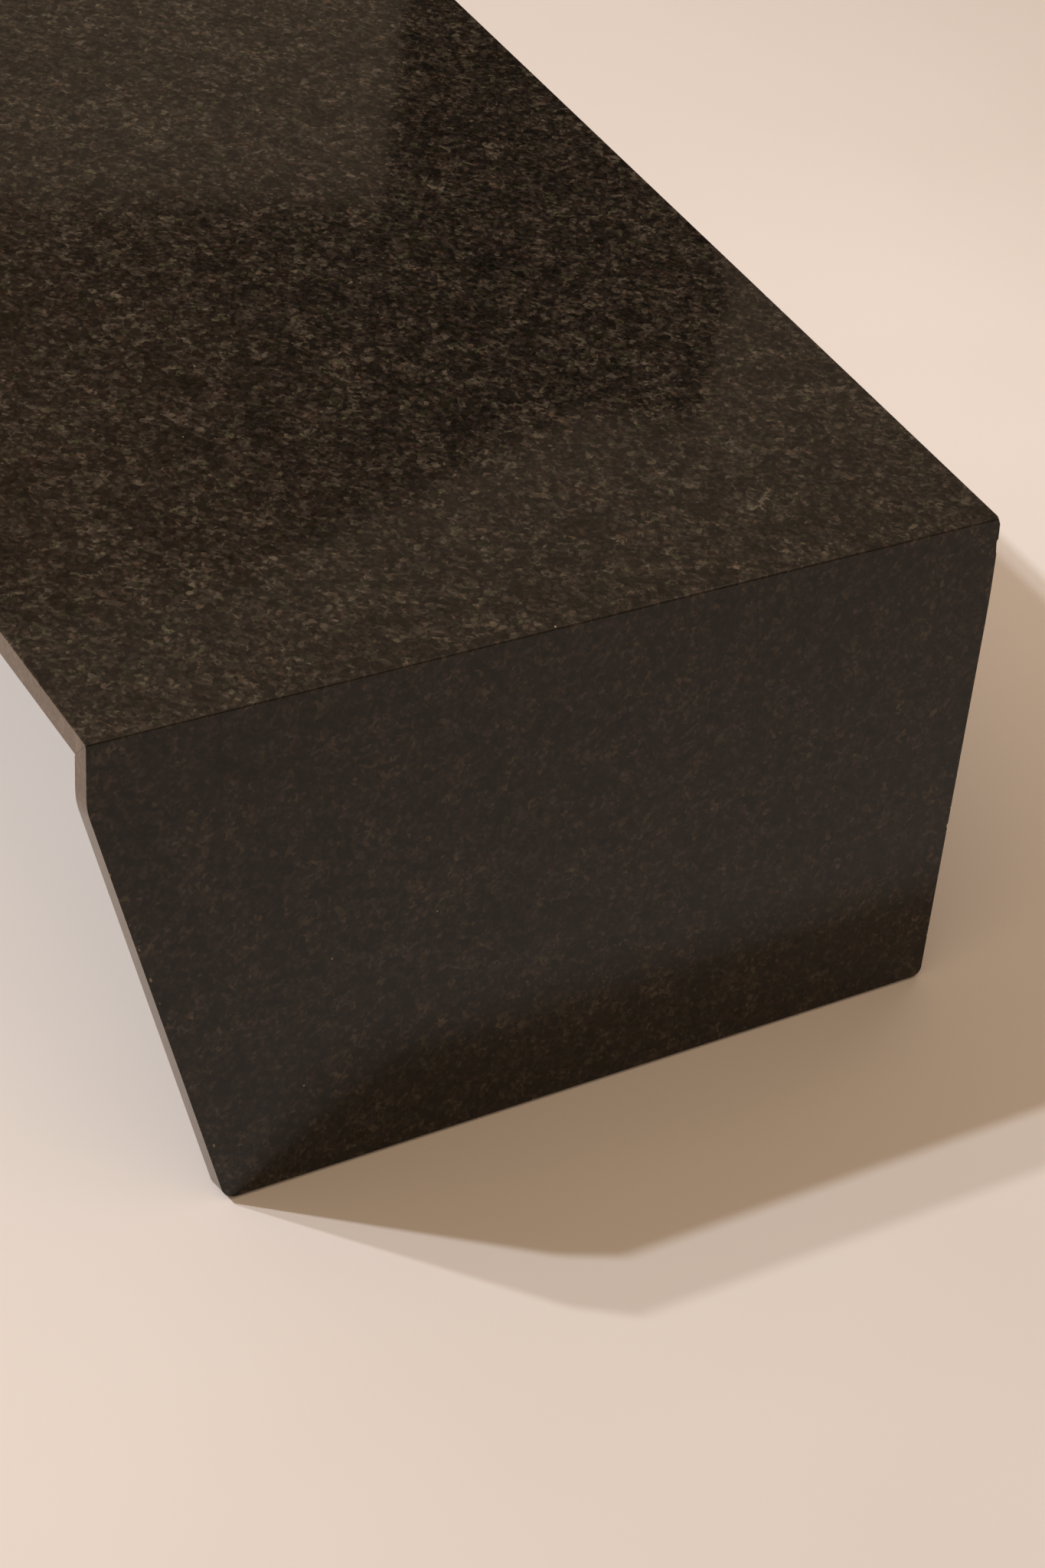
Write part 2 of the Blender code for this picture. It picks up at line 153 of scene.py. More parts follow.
# %% [markdown]
# ## Granite
#
# This dark stone is sold as black granite, though a geologist would call it gabbro: interlocking
# crystals, three to six millimetres across, of nearly black pyroxene and of olive grey feldspar,
# with a few rusty and a few greenish grains. An image could be tiled over it, but it would repeat
# and slide over the edges. The crystals are made instead by Voronoi cells in three dimensions, so
# a crystal that starts on the top goes on round the edge, as it does in real stone. A noise bends
# the cells, as real grain boundaries are never straight, and a slower noise gathers them in light
# and dark clouds.
#
# The same minerals look quite different by finish. Polishing leaves no scatter at the surface, so
# the stone looks deep and dark under a clear reflection. Honing and sawing leave tiny pits that
# scatter light, so the stone turns paler, and a sawn face is dull as well.

# %% The minerals, shared by every finish of the stone
CRYSTAL = 3.0 * MM         # a common crystal
LATH = 6.0 * MM            # a large feldspar
CLOUD = 30 * MM            # a light or dark patch
SPECK_SPACING = 55 * MM    # between rare pale specks, which are painted glints of mica flakes
SPECK = 0.8 * MM
GLINT_SPECK_COLOUR = "#a79c84"
BEND_SIZE, BEND_REACH = 2.2 * CRYSTAL, 1.6 * CRYSTAL    # of the noise that bends the crystals
GRANITE_IOR = 1.54
CRYSTAL_SHARE, LATH_SHARE, CLOUD_SHARE = 0.44, 0.38, 0.55
MIDDLE_GRAIN = 0.49        # the mean of the grain value
MINERALS = [
    (0.00, "#0d0b09"), (0.25, "#191512"), (0.50, "#26201b"), (0.70, "#39312a"),
    (0.86, "#50473c"), (1.00, "#665c4e"),
]
TINTS = [(0.00, "#ffeee6"), (0.30, "#ffffff"), (0.70, "#ffffff"), (1.00, "#e4f4dc")]


def mineral_colour(tree):
    """The colour of the minerals at each point of the stone, and a grain value from 0 to 1."""
    place = add(tree, "ShaderNodeTexCoord").outputs["Object"]
    bend = add(tree, "ShaderNodeTexNoise", {"Vector": place, "Scale": 1 / BEND_SIZE, "Detail": 2.0})
    centred = add(tree, "ShaderNodeVectorMath", {0: bend.outputs["Color"], 1: (0.5, 0.5, 0.5)},
                  operation="SUBTRACT")
    offset = add(tree, "ShaderNodeVectorMath", {0: centred.outputs[0], "Scale": BEND_REACH},
                 operation="SCALE")
    bent = add(tree, "ShaderNodeVectorMath", {0: place, 1: offset.outputs[0]}, operation="ADD").outputs[0]
    crystals = add(tree, "ShaderNodeTexVoronoi", {"Vector": bent, "Scale": 1 / CRYSTAL})
    laths = add(tree, "ShaderNodeTexVoronoi", {"Vector": bent, "Scale": 1 / LATH})
    clouds = add(tree, "ShaderNodeTexNoise",
                 {"Vector": place, "Scale": 1 / CLOUD, "Detail": 3.0, "Roughness": 0.6})
    small = add(tree, "ShaderNodeSeparateColor", {0: crystals.outputs["Color"]})
    large = add(tree, "ShaderNodeSeparateColor", {0: laths.outputs["Color"]})
    start = MIDDLE_GRAIN - (CRYSTAL_SHARE + LATH_SHARE + CLOUD_SHARE) / 2
    mixed = add(tree, "ShaderNodeMath", {0: small.outputs[0], 1: CRYSTAL_SHARE, 2: start},
                operation="MULTIPLY_ADD")
    with_laths = add(tree, "ShaderNodeMath", {0: large.outputs[0], 1: LATH_SHARE, 2: mixed.outputs[0]},
                     operation="MULTIPLY_ADD")
    grain = add(tree, "ShaderNodeMath", {0: clouds.outputs[0], 1: CLOUD_SHARE, 2: with_laths.outputs[0]},
                operation="MULTIPLY_ADD", use_clamp=True).outputs[0]
    minerals = add(tree, "ShaderNodeValToRGB", {0: grain}, stops=MINERALS).outputs[0]
    tint = add(tree, "ShaderNodeValToRGB", {0: large.outputs[1]}, stops=TINTS).outputs[0]
    tinted = add(tree, "ShaderNodeMix", {0: 1.0, 6: minerals, 7: tint},
                 data_type="RGBA", blend_type="MULTIPLY").outputs[2]
    # Painted glint: rare pale specks, a fixed pale colour that stands for mica flakes catching the light.
    specks = add(tree, "ShaderNodeTexVoronoi", {"Vector": place, "Scale": 1 / SPECK_SPACING})
    glint_speck = add(tree, "ShaderNodeMath", {0: specks.outputs["Distance"], 1: SPECK / SPECK_SPACING},
                operation="LESS_THAN")
    colour = add(tree, "ShaderNodeMix", {0: glint_speck.outputs[0], 6: tinted, 7: linear(GLINT_SPECK_COLOUR)},
                 data_type="RGBA").outputs[2]
    return place, colour, grain


# %% Polished granite
PAINTED_PANEL_SHADE = "#0f0d0a"        # painted shade: the colour that the panels' stone is mixed towards, as they stand in shade
SWELL, SWELL_DEPTH = 60 * MM, 0.15 * MM    # the slow unevenness that polishing leaves


def polished_granite(name, depth, smoothest, roughest, gloss_level):
    """The outer faces: dark, deep, with a clear reflection that only the grain disturbs a little. Depth mixes
    in painted shade.
    """
    material, tree, shader = start_material(name)
    place, colour, grain = mineral_colour(tree)
    # Painted shade: depth darkens the stone's colour towards a dark brown, for a face that stands in shade.
    deep = add(tree, "ShaderNodeMix", {0: depth, 6: colour, 7: linear(PAINTED_PANEL_SHADE)}, data_type="RGBA").outputs[2]
    gloss = add(tree, "ShaderNodeMapRange", {"Value": grain, "To Min": smoothest, "To Max": roughest})
    swell = add(tree, "ShaderNodeTexNoise", {"Vector": place, "Scale": 1 / SWELL, "Detail": 1.0})
    bump = add(tree, "ShaderNodeBump",
               {"Height": swell.outputs[0], "Strength": 0.25, "Distance": SWELL_DEPTH})
    fill(tree, shader, {"Base Color": deep, "Roughness": gloss.outputs[0], "IOR": GRANITE_IOR,
                        "Specular IOR Level": gloss_level, "Normal": bump.outputs[0]})
    return material


# %% Honed, sawn and broken granite
PALE_SPREAD = 0.12         # how much paler or less pale than the mean a crystal may be


def matt_granite(name, pale, paleness, roughness, grit, depth):
    """Unpolished stone: the minerals under a pale scatter, over a pitted surface."""
    material, tree, shader = start_material(name)
    place, colour, grain = mineral_colour(tree)
    share = add(tree, "ShaderNodeMapRange",
                {"Value": grain, "To Min": paleness - PALE_SPREAD, "To Max": paleness + PALE_SPREAD})
    paled = add(tree, "ShaderNodeMix", {0: share.outputs[0], 6: colour, 7: linear(pale)},
                data_type="RGBA")
    pits = add(tree, "ShaderNodeTexNoise", {"Vector": place, "Scale": 1 / grit, "Detail": 4.0})
    bump = add(tree, "ShaderNodeBump", {"Height": pits.outputs[0], "Strength": 0.7, "Distance": depth})
    fill(tree, shader, {"Base Color": paled.outputs[2], "Roughness": roughness, "IOR": GRANITE_IOR,
                        "Normal": bump.outputs[0]})
    return material


POLISHED = polished_granite("polished_granite_top", 0.0, 0.05, 0.10, 0.37)
# The panels' copy carries painted shade (depth 0.35), because the near panel faces away from the lamps. The
# stone itself is the same as the top's.
PANEL_POLISHED_PAINTED_SHADE = polished_granite("polished_granite_panel_painted_shade", 0.35, 0.13, 0.19, 0.27)
HONED = matt_granite("honed_granite_edge", "#705944", 0.54, 0.14, 1.2 * MM, 0.05 * MM)
SAWN = matt_granite("sawn_granite_face", "#75706a", 0.50, 0.62, 1.6 * MM, 0.15 * MM)
BROKEN = matt_granite("broken_granite_chip", "#a59c8b", 0.80, 0.70, 0.9 * MM, 0.25 * MM)
STONE = [POLISHED, HONED, SAWN, BROKEN]
PANEL_STONE = [PANEL_POLISHED_PAINTED_SHADE, HONED, SAWN, BROKEN]
print("stone finishes:", [material.name for material in STONE + PANEL_STONE[:1]])

# %% [markdown]
# ## Metal, resin and rubber
#
# The brackets are stainless steel sheet, brushed along the sheet, so their streaks are long in one
# direction and fine in the other. The screws are zinc plated, which is brighter and faintly blue.
# The threaded inserts are brass. The groove resin is epoxy tinted black, glossy where it set
# against air, and the stone glue is the same epoxy tinted to the colour of the stone. The pads are
# moulded rubber with a fine matt grain.

# %% Brushed stainless steel
STREAK_LENGTH, STREAK_WIDTH = 30 * MM, 0.5 * MM


def brushed_steel():
    """Streaks run across the table: slow along X, quick along the other two directions."""
    material, tree, shader = start_material("brushed_stainless_steel")
    place = add(tree, "ShaderNodeTexCoord").outputs["Object"]
    stretched = add(tree, "ShaderNodeMapping",
                    {"Vector": place, "Scale": (1 / STREAK_LENGTH, 1 / STREAK_WIDTH, 1 / STREAK_WIDTH)})
    streaks = add(tree, "ShaderNodeTexNoise", {"Vector": stretched.outputs[0], "Scale": 1.0, "Detail": 3.0})
    tint = add(tree, "ShaderNodeValToRGB", {0: streaks.outputs[0]},
               stops=[(0.3, "#b3b0ab"), (0.7, "#cfccc6")])
    gloss = add(tree, "ShaderNodeMapRange", {"Value": streaks.outputs[0], "To Min": 0.26, "To Max": 0.44})
    bump = add(tree, "ShaderNodeBump",
               {"Height": streaks.outputs[0], "Strength": 0.3, "Distance": 0.02 * MM})
    fill(tree, shader, {"Base Color": tint.outputs[0], "Roughness": gloss.outputs[0], "Metallic": 1.0,
                        "Normal": bump.outputs[0]})
    return material


# %% Zinc, brass, epoxy and rubber
GLOSS_DRIFT = 0.08         # how far the roughness drifts to either side


def grained(name, dark, pale, roughness, metallic, grain, depth):
    """A finish whose colour and gloss both drift over a fine grain."""
    material, tree, shader = start_material(name)
    place = add(tree, "ShaderNodeTexCoord").outputs["Object"]
    fine = add(tree, "ShaderNodeTexNoise", {"Vector": place, "Scale": 1 / grain, "Detail": 4.0})
    tint = add(tree, "ShaderNodeValToRGB", {0: fine.outputs[0]}, stops=[(0.3, dark), (0.7, pale)])
    gloss = add(tree, "ShaderNodeMapRange", {
        "Value": fine.outputs[0], "To Min": roughness - GLOSS_DRIFT, "To Max": roughness + GLOSS_DRIFT})
    bump = add(tree, "ShaderNodeBump", {"Height": fine.outputs[0], "Strength": 0.5, "Distance": depth})
    fill(tree, shader, {"Base Color": tint.outputs[0], "Roughness": gloss.outputs[0],
                        "Metallic": metallic, "Normal": bump.outputs[0]})
    return material


STEEL = brushed_steel()
ZINC = grained("bright_zinc_plate", "#b9bcc0", "#d6d6d4", 0.28, 1.0, 1.5 * MM, 0.01 * MM)
BRASS = grained("turned_brass", "#b08a46", "#cfa75c", 0.30, 1.0, 0.8 * MM, 0.01 * MM)
EPOXY = grained("poured_black_epoxy", "#0d0b0a", "#191613", 0.24, 0.0, 3.0 * MM, 0.06 * MM)
STONE_GLUE = grained("tinted_stone_glue", "#241f19", "#332c24", 0.22, 0.0, 2.0 * MM, 0.01 * MM)
RUBBER = grained("moulded_black_rubber", "#191918", "#262524", 0.74, 0.0, 0.4 * MM, 0.03 * MM)
print("other finishes:", [m.name for m in (STEEL, ZINC, BRASS, EPOXY, STONE_GLUE, RUBBER)])

# %% [markdown]
# ## Mesh helpers
#
# A slab of stone starts as a flat outline pushed through a thickness, which is just how a saw makes
# it. Planes then trim it, as a mitre cut does, and a bevel rounds its edges. Objects are always
# left at the origin with their place in the mesh, so a pattern in Object coordinates stays put.

# %% Outlines, prisms and cuts
ON_PLANE = 1e-7            # a corner this near to a cutting plane counts as on it


def rounded_outline(corners, steps=20):
    """The points of a polygon given as (point, radius) corners, with an arc at each round one."""
    points = []
    for index, (corner, radius) in enumerate(corners):
        if radius == 0:
            points.append(corner)
            continue
        before = (corners[index - 1][0] - corner).normalized()
        after = (corners[(index + 1) % len(corners)][0] - corner).normalized()
        half = before.angle(after) / 2
        centre = corner + (before + after).normalized() * (radius / sin(half))
        start = (corner + before * (radius / tan(half)) - centre).normalized()
        end = (corner + after * (radius / tan(half)) - centre).normalized()
        points += [centre + start.slerp(end, step / steps) * radius for step in range(steps + 1)]
    return points


def prism(outline, push):
    """A solid between a flat outline and its copy moved along a vector."""
    bm = bmesh.new()
    base = bm.faces.new([bm.verts.new(point) for point in outline])
    made = bmesh.ops.extrude_face_region(bm, geom=[base])
    bmesh.ops.translate(bm, vec=push, verts=[v for v in made["geom"] if isinstance(v, bmesh.types.BMVert)])
    bmesh.ops.recalc_face_normals(bm, faces=bm.faces)
    return bm


def trim(bm, point, normal):
    """Cuts off what lies beyond a plane, and closes the cut."""
    cut = bmesh.ops.bisect_plane(
        bm, geom=bm.verts[:] + bm.edges[:] + bm.faces[:], dist=ON_PLANE,
        plane_co=point, plane_no=normal, clear_outer=True,
    )
    rim = [item for item in cut["geom_cut"] if isinstance(item, bmesh.types.BMEdge)]
    if rim:
        bmesh.ops.holes_fill(bm, edges=rim, sides=0)


def round_edges(bm, wanted, width, segments):
    """Rounds the edges that the test picks out."""
    bmesh.ops.bevel(
        bm, geom=[edge for edge in bm.edges if wanted(edge)], offset=width,
        segments=segments, profile=0.5, affect="EDGES", clamp_overlap=True,
    )


def placed(name, data):
    """A new object in the scene, at the origin."""
    obj = bpy.data.objects.new(name, data)
    bpy.context.scene.collection.objects.link(obj)
    return obj


def mesh_of(name, points, edges=(), faces=()):
    """A mesh from plain lists of points, edges and faces."""
    mesh = bpy.data.meshes.new(name)
    mesh.from_pydata(points, edges, faces)
    return mesh


def new_object(name, bm, materials):
    """An object at the origin from a bmesh, with its faces turned outwards."""
    bmesh.ops.recalc_face_normals(bm, faces=bm.faces)
    mesh = bpy.data.meshes.new(name)
    bm.to_mesh(mesh)
    bm.free()
    for material in materials:
        mesh.materials.append(material)
    return placed(name, mesh)


def keep_result(obj):
    """Turns what the modifiers make into the object's own plain mesh, and removes them."""
    evaluated = obj.evaluated_get(bpy.context.evaluated_depsgraph_get())
    mesh = bpy.data.meshes.new_from_object(evaluated)
    obj.modifiers.clear()
    obj.data = mesh
    mesh.name = obj.name
    return obj


SHARP_ANGLE = radians(32)  # an edge that turns more than this stays sharp


def settle(obj):
    """Keeps the modifiers' result, and smooths its rounds."""
    keep_result(obj)
    obj.data.shade_smooth()
    obj.data.set_sharp_from_angle(angle=SHARP_ANGLE)
    return obj


def even_normals(obj):
    """Lets the large flat faces set the shading, so that a round doesn't bleed into them."""
    modifier = obj.modifiers.new("even normals", "WEIGHTED_NORMAL")
    modifier.keep_sharp = True
    modifier.weight = 100
    return keep_result(obj)


# %% [markdown]
# ## Chips, bores and grooves
#
# Thin polished stone always has a few tiny chips along its edges, and they catch the eye as pale
# specks, because broken stone scatters light. A chip is a lumpy ball taken out of the edge with a
# Boolean, so it is a real hollow with its own pale finish. The holes for the inserts and the
# grooves for the bars are taken out in the same way, and show the sawn finish inside.

# %% Cutting tools
LUMPS_PER_RADIUS, LUMP_HEIGHT = 1.1, 0.38
OVERSHOOT = 4 * MM         # how far a tool reaches past the face that it opens


def lumpy_ball(centre, radius, stretch, seed):
    """A ball pushed in and out by a noise, longer along one direction."""
    bm = bmesh.new()
    bmesh.ops.create_icosphere(bm, subdivisions=3, radius=radius)
    for vert in bm.verts:
        lump = noise.noise(vert.co * (LUMPS_PER_RADIUS / radius) + Vector((seed, 0, 0)))
        vert.co *= 1 + LUMP_HEIGHT * lump
        vert.co += stretch * vert.co.dot(stretch.normalized())
    bmesh.ops.translate(bm, vec=centre, verts=bm.verts)
    return bm


def rod(point, outwards, radius, reach_in, reach_out, sides=40):
    """A round bar through a face, from below it to above it."""
    bm = bmesh.new()
    bmesh.ops.create_cone(bm, cap_ends=True, segments=sides, radius1=radius, radius2=radius,
                          depth=reach_in + reach_out)
    turn = UP.rotation_difference(outwards).to_matrix().to_4x4()
    middle = point + outwards * (reach_out - reach_in) / 2
    bmesh.ops.transform(bm, matrix=Matrix.Translation(middle) @ turn, verts=bm.verts)
    return bm


def block(low, high):
    """A plain block between two corners."""
    corners = [Vector((x, y, low[2])) for x, y in
               ((low[0], low[1]), (high[0], low[1]), (high[0], high[1]), (low[0], high[1]))]
    return prism(corners, UP * (high[2] - low[2]))


def joined(name, tools, material, turn=Matrix.Identity(4)):
    """One object from several separate bmeshes, turned to the end it belongs to."""
    whole = bmesh.new()
    for tool in tools:
        bmesh.ops.transform(tool, matrix=turn, verts=tool.verts)
        part = bpy.data.meshes.new("part")
        tool.to_mesh(part)
        tool.free()
        whole.from_mesh(part)
        bpy.data.meshes.remove(part)
    return new_object(name, whole, [material])


def cut_away(obj, tools):
    """Takes tool objects away from an object, passing their finish to the cut faces."""
    for tool in tools:
        modifier = obj.modifiers.new(tool.name, "BOOLEAN")
        modifier.operation, modifier.solver, modifier.object = "DIFFERENCE", "EXACT", tool
        modifier.material_mode = "TRANSFER"
    settle(obj)
    for tool in tools:
        bpy.data.objects.remove(tool)


# %% Chips along an edge
def chips_along(start, end, inwards, count, seed, biggest=1.5 * MM):
    """Small chips at random places on an edge: many tiny ones and a few larger."""
    dice = random.Random(seed)
    for _ in range(count):
        place = start.lerp(end, dice.uniform(0.03, 0.97))
        radius = biggest * (0.35 + 0.65 * dice.random() ** 3)
        centre = place - inwards * radius * dice.uniform(0.15, 0.4)
        along = (end - start).normalized() * dice.uniform(0.2, 1.1)
        yield lumpy_ball(centre, radius, along, dice.uniform(0, 90))


# %% [markdown]
# ## Where the fasteners go
#
# Each corner has two brackets, and each bracket leg has two screws. The places are worked out
# from the inner corner of the stone, so they follow the slab and the panel wherever those go.

# %% Places of screws and inserts
BRACKET_SPACING = 0.440
BRACKET_WIDTH = 60 * MM
BRACKET_LEG = 50 * MM
BRACKET_THICKNESS = 4 * MM
BRACKET_INNER_RADIUS = 4 * MM
SCREW_SPACING = 34 * MM
SCREW_FROM_CORNER = 32 * MM
SCREW_RADIUS = 2.9 * MM
SCREW_GRIP = 8 * MM
HEAD_RADIUS = 5.5 * MM
HEAD_HEIGHT = 3.2 * MM
SOCKET_RADIUS = 2.2 * MM
SOCKET_DEPTH = 1.8 * MM
SCREW_HOLE = 3.3 * MM
INSERT_RADIUS = 4.7 * MM
INSERT_LENGTH = 9.5 * MM
SEAT = 2 * FIT + BRACKET_THICKNESS


def screw_places(leg_wanted=None):
    """Each screw's point on the stone, and the way out of it, at the near end."""
    for leg, along, outwards in (("top", ALONG, -UP), ("panel", DOWN_PANEL, -OUT_OF_PANEL)):
        if leg_wanted in (None, leg):
            for middle in (-BRACKET_SPACING / 2, BRACKET_SPACING / 2):
                for sign in (-1, 1):
                    across = ACROSS * (middle + sign * SCREW_SPACING / 2)
                    yield INNER_CORNER + across + along * SCREW_FROM_CORNER, outwards


def insert_holes(leg):
    """The tools that bore the stone for the inserts of one bracket leg."""
    return [rod(point, outwards, INSERT_RADIUS + FIT, INSERT_LENGTH + 3 * FIT, OVERSHOOT)
            for point, outwards in screw_places(leg)]


print("screws at each end:", len(list(screw_places())))

# %% [markdown]
# ## The mitred corner
#
# Where slab and panel meet, both are cut at half the angle between them, glued, and the sharp
# outer corner is then rounded by hand with a polishing pad. Seven narrow flats, shaded smooth,
# make that round, and the same flats trim both stones, so they line up across the glue.
# The pad also takes the point off each end of the corner, a little more on one side.

# %% Rounding the mitre and its ends
ROUND_FLATS = 7
POINT_ROUNDS = {1: 3.0 * MM, -1: 2.0 * MM}    # by side: right, then left


def round_mitre(bm):
    """Rounds the outer corner of the near mitre with flats that touch one circle."""
    inwards = -(UP + OUT_OF_PANEL).normalized()
    centre = OUTER_CORNER + inwards * (MITRE_ARRIS / sin(CORNER_ANGLE / 2))
    for step in range(1, ROUND_FLATS + 1):
        normal = UP.slerp(OUT_OF_PANEL, step / (ROUND_FLATS + 1))
        trim(bm, centre + normal * MITRE_ARRIS, normal)


def soften_point(bm, side, radius):
    """Takes the point off one end of the mitre, where top, side and panel meet."""
    outwards = (ACROSS * side, UP, OUT_OF_PANEL)
    inner = OUTER_CORNER + ACROSS * side * (WIDTH / 2 - radius)
    inner -= (UP + OUT_OF_PANEL).normalized() * (radius / sin(CORNER_ANGLE / 2))
    for shares in ((2, 1, 1), (1, 1, 1), (3, 2, 2), (2, 2, 1), (2, 1, 2), (4, 1, 1)):
        normal = sum((way * share for way, share in zip(outwards, shares)), Vector()).normalized()
        trim(bm, inner + normal * radius, normal)


def at_both_ends(bm, work):
    """Does the same work on the near end and, by turning the stone half a turn, on the far end."""
    for _ in range(2):
        work(bm)
        bmesh.ops.transform(bm, matrix=FAR_TURN, verts=bm.verts)


def finish_mitre(bm):
    round_mitre(bm)
    for side, radius in POINT_ROUNDS.items():
        soften_point(bm, side, radius)


# %% [markdown]
# ## The top slab
#
# One sheet of stone, 19 mm thick. Its long sides are straight and its four long edges are rounded
# by 1.8 mm. The top face is polished, the sides are honed, the underside is sawn.

# %% Build the top slab
BAR_WIDTH, BAR_DEPTH, RESIN_DEPTH = 3 * MM, 8 * MM, 1.6 * MM
BAR_FROM_EDGE, BAR_SPACING = 0.130, 0.250
BAR_PLACES = (-BAR_SPACING, 0.0, BAR_SPACING)
HALF_BAR = LENGTH / 2 - BAR_FROM_EDGE
EDGE_SEGMENTS = 6
SHOWN, SIDE, HIDDEN = 0, 1, 2          # slots of the polished, honed and sawn finishes
SHOWN_ABOVE, HIDDEN_BELOW = 0.45, -0.9    # how far a face turns to the show side, from 1 to -1
CHIPS_REACH = 0.58         # the chips on a long edge all lie within this of its middle
CHIP_LINE = 0.3 * MM       # how far inside an edge its chips are strung


def finish_of(face, polished_way):
    """Which finish a face has: polished on the show face, honed round the sides, sawn inside."""
    facing = face.normal.dot(polished_way)
    if facing > SHOWN_ABOVE:
        return SHOWN
    return HIDDEN if facing < HIDDEN_BELOW else SIDE


def slab_mesh():
    near, far, low, high = -LENGTH / 2, LENGTH / 2, HEIGHT - SLAB_THICKNESS, HEIGHT
    outline = [Vector((-WIDTH / 2, y, z)) for y, z in ((near, low), (far, low), (far, high), (near, high))]
    bm = prism(outline, ACROSS * WIDTH)
    at_both_ends(bm, lambda b: trim(b, OUTER_CORNER + TOWARDS_TOP * SEAM / 2, -TOWARDS_TOP))
    along_table = lambda e: abs((e.verts[0].co - e.verts[1].co).normalized().y) > 0.999
    round_edges(bm, along_table, ARRIS, EDGE_SEGMENTS)
    at_both_ends(bm, finish_mitre)
    bm.normal_update()
    for face in bm.faces:
        face.material_index = finish_of(face, UP)
        across, along, up = face.normal
        if up < SHOWN_ABOVE and abs(along) > 0.5 and abs(across) < 0.1:    # the cut of a mitre
            face.material_index = HIDDEN
    return bm


def slab_cutters():
    under = HEIGHT - SLAB_THICKNESS
    roof = under + RESIN_DEPTH + BAR_DEPTH + 2 * FIT
    half = BAR_WIDTH / 2 + FIT
    grooves = [block((x - half, -HALF_BAR - FIT, under - OVERSHOOT), (x + half, HALF_BAR + FIT, roof))
               for x in BAR_PLACES]
    yield joined("grooves", grooves, SAWN)
    for end, turn in ENDS.items():
        yield joined(f"{end}_bores", insert_holes("top"), SAWN, turn)
    inwards = {side: Vector((-side, 0, -1)).normalized() for side in (-1, 1)}
    chips = []
    for side, count, seed in ((-1, 13, 5), (1, 11, 8)):
        edge = [Vector((side * (WIDTH / 2 - CHIP_LINE), y, HEIGHT - CHIP_LINE))
                for y in (-CHIPS_REACH, CHIPS_REACH)]
        chips += chips_along(*edge, inwards[side], count, seed)
    yield joined("edge_chips", chips, BROKEN)


top = new_object("top_slab_stone", slab_mesh(), STONE)
cut_away(top, list(slab_cutters()))
print("slab faces:", len(top.data.polygons))

# %% [markdown]
# ## The end panels
#
# An end panel hangs from the slab by two short straight ears, then draws in to its foot: by 112 mm
# on one side, with a tight bend below the ear, and by only 30 mm on the other, so slowly that its
# bend can hardly be seen. Both feet corners are rounded. The far panel is the same piece of stone
# turned half a turn, so the strong taper sits on opposite sides at the two ends and the table stays
# balanced. Each panel has its own chips, because no two pieces of stone are alike.

# %% Build the end panels
BIG_CHIP_DOWN = 24 * MM    # from the top face down to the one clear chip on a panel's edge
BIG_CHIP_RADIUS, BIG_CHIP_BITE = 2.6 * MM, 1.1 * MM


def panel_point(across, down):
    return OUTER_CORNER + ACROSS * across + DOWN_PANEL * down


def foot_inset(taper):
    return taper * (FOOT_DOWN - EAR) / (FLOOR_DOWN - EAR)


def panel_mesh():
    half = WIDTH / 2
    outline = rounded_outline([
        (panel_point(-half, 0), 0),
        (panel_point(-half, EAR), BROAD_BEND),
        (panel_point(-half + foot_inset(BROAD_TAPER), FOOT_DOWN), BROAD_FOOT),
        (panel_point(half - foot_inset(SLIGHT_TAPER), FOOT_DOWN), SLIGHT_FOOT),
        (panel_point(half, EAR), SLIGHT_BEND),
        (panel_point(half, 0), 0),
    ])
    bm = prism(outline, -OUT_OF_PANEL * PANEL_THICKNESS)
    trim(bm, Vector((0, 0, FOOT_Z)), -UP)
    trim(bm, OUTER_CORNER - TOWARDS_TOP * SEAM / 2, TOWARDS_TOP)
    on_mitre = lambda face: abs(face.normal.dot(TOWARDS_TOP)) > 0.9999
    exposed = lambda e: not any(map(on_mitre, e.link_faces)) and e.calc_face_angle(0) > 0.7
    round_edges(bm, exposed, ARRIS, EDGE_SEGMENTS)
    finish_mitre(bm)
    bm.normal_update()
    for face in bm.faces:
        on_cut = face.normal.dot(TOWARDS_TOP) > 0.99
        face.material_index = HIDDEN if on_cut else finish_of(face, OUT_OF_PANEL)
    return bm


def panel_cutters(end, turn, seed):
    yield joined(f"{end}_bores", insert_holes("panel"), SAWN, turn)
    half = WIDTH / 2 - CHIP_LINE
    chips = list(chips_along(
        panel_point(-half, EAR + 20 * MM) + ACROSS * 6 * MM,
        panel_point(-half + BROAD_TAPER, FOOT_DOWN - 20 * MM), ACROSS, 7, seed + 1, 1.2 * MM))
    chips += chips_along(panel_point(half, EAR), panel_point(half - SLIGHT_TAPER, FOOT_DOWN),
                         -ACROSS, 4, seed + 2)
    big = panel_point(half + BIG_CHIP_RADIUS - BIG_CHIP_BITE, BIG_CHIP_DOWN)
    chips.append(lumpy_ball(big, BIG_CHIP_RADIUS, DOWN_PANEL * 1.6, seed))
    yield joined(f"{end}_edge_chips", chips, BROKEN, turn)


panels = {}
for seed, (end, turn) in enumerate(ENDS.items(), start=3):
    panel = panels[end] = new_object(f"{end}_panel_stone", panel_mesh(), PANEL_STONE)
    panel.data.transform(turn)
    cut_away(panel, list(panel_cutters(end, turn, seed)))
    print(panel.name, "faces:", len(panel.data.polygons))

# %% Even out the shading of the stone and measure it against the engineering model
STONES = {"top_slab": top, "near_end_panel": panels["near"], "far_end_panel": panels["far"]}
for node, obj in STONES.items():
    even_normals(obj)
    co = [vert.co for vert in obj.data.vertices]
    low, high = (Vector(limit(c[i] for c in co) for i in range(3)) for limit in (min, max))
    cad_low, cad_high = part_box(node)
    past = (*(low - cad_low), *(high - cad_high))
    print(obj.name, "differs from CAD by mm", [round(v / MM, 2) for v in past])

